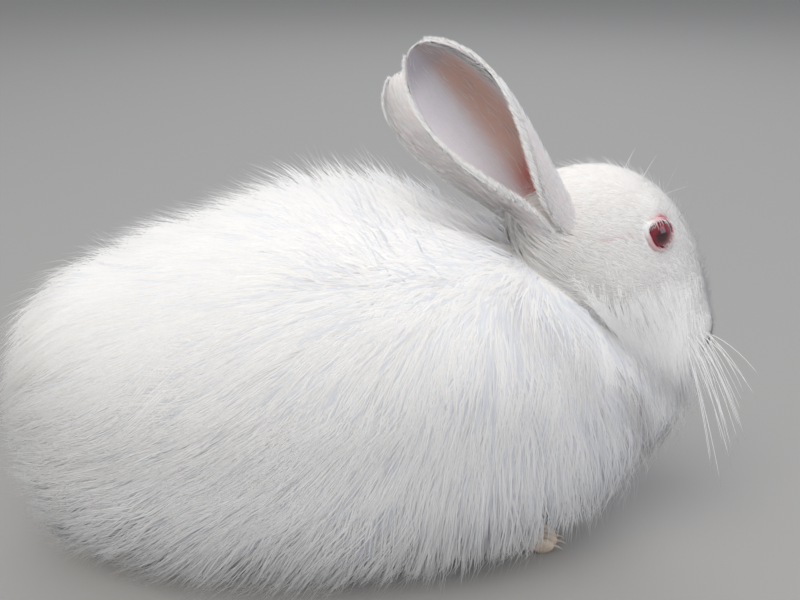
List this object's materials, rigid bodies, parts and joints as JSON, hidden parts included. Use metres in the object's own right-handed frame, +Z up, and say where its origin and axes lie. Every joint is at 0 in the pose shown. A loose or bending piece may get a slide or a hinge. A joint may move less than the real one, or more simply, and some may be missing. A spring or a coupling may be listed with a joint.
{
  "type": "angora rabbit model",
  "caption": "Still life-size model of a young white angora rabbit crouched at rest on its four feet, head raised and ears laid back.",
  "frame": {"origin": "on the floor, below the centre of the whole model's box", "axes": "+X towards the nose, +Y towards the animal's left side, +Z up"},
  "size_m": [0.3224, 0.186, 0.2311],
  "materials": {
    "wool": "long soft white wool in fine locks",
    "short_fur": "short dense white fur",
    "eye": "wet glossy dark ruby"
  },
  "bodies": {
    "root": {"torso": "wool", "neck": "wool", "head": "short_fur", "ear_right": "short_fur", "ear_left": "short_fur", "eye_right": "eye", "eye_left": "eye", "foreleg_right": "short_fur", "foreleg_left": "short_fur", "hindleg_right": "short_fur", "hindleg_left": "short_fur", "tail": "wool"}
  },
  "joints": []
}
